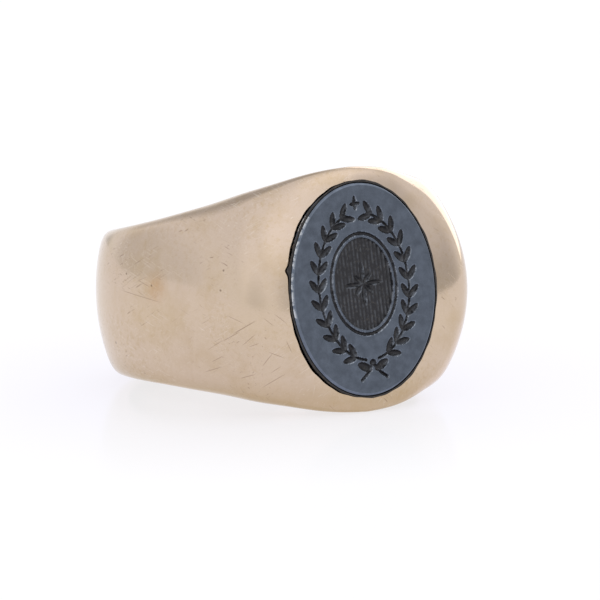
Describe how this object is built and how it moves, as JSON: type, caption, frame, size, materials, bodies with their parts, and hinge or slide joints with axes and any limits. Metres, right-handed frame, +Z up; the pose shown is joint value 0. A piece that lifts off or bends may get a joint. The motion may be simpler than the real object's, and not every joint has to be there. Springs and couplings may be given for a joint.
{
  "type": "signet ring",
  "caption": "Gents' signet ring lying on its side: a plain gold band that swells into a cushion-shaped head, with a flat oval dark hardstone let into the head in a thin dark cement line.",
  "frame": {"origin": "middle of the bounding box at its lowest point, on the table that the ring lies on", "axes": "+Z up. The ring lies on its side, so the finger's axis is nearly upright, leaning back (towards +Y) by 8.6 degrees. The head faces -Y and slightly up; X runs across the head."},
  "size_m": [0.0224, 0.0246, 0.0158],
  "materials": {
    "gold": "polished, with fine wear scratches",
    "hardstone": "polished, engraved parts frosted",
    "cement": "matt, dark"
  },
  "bodies": {
    "root": {"ring_body": "gold", "stone": "hardstone", "setting_cement": "cement"}
  },
  "joints": []
}
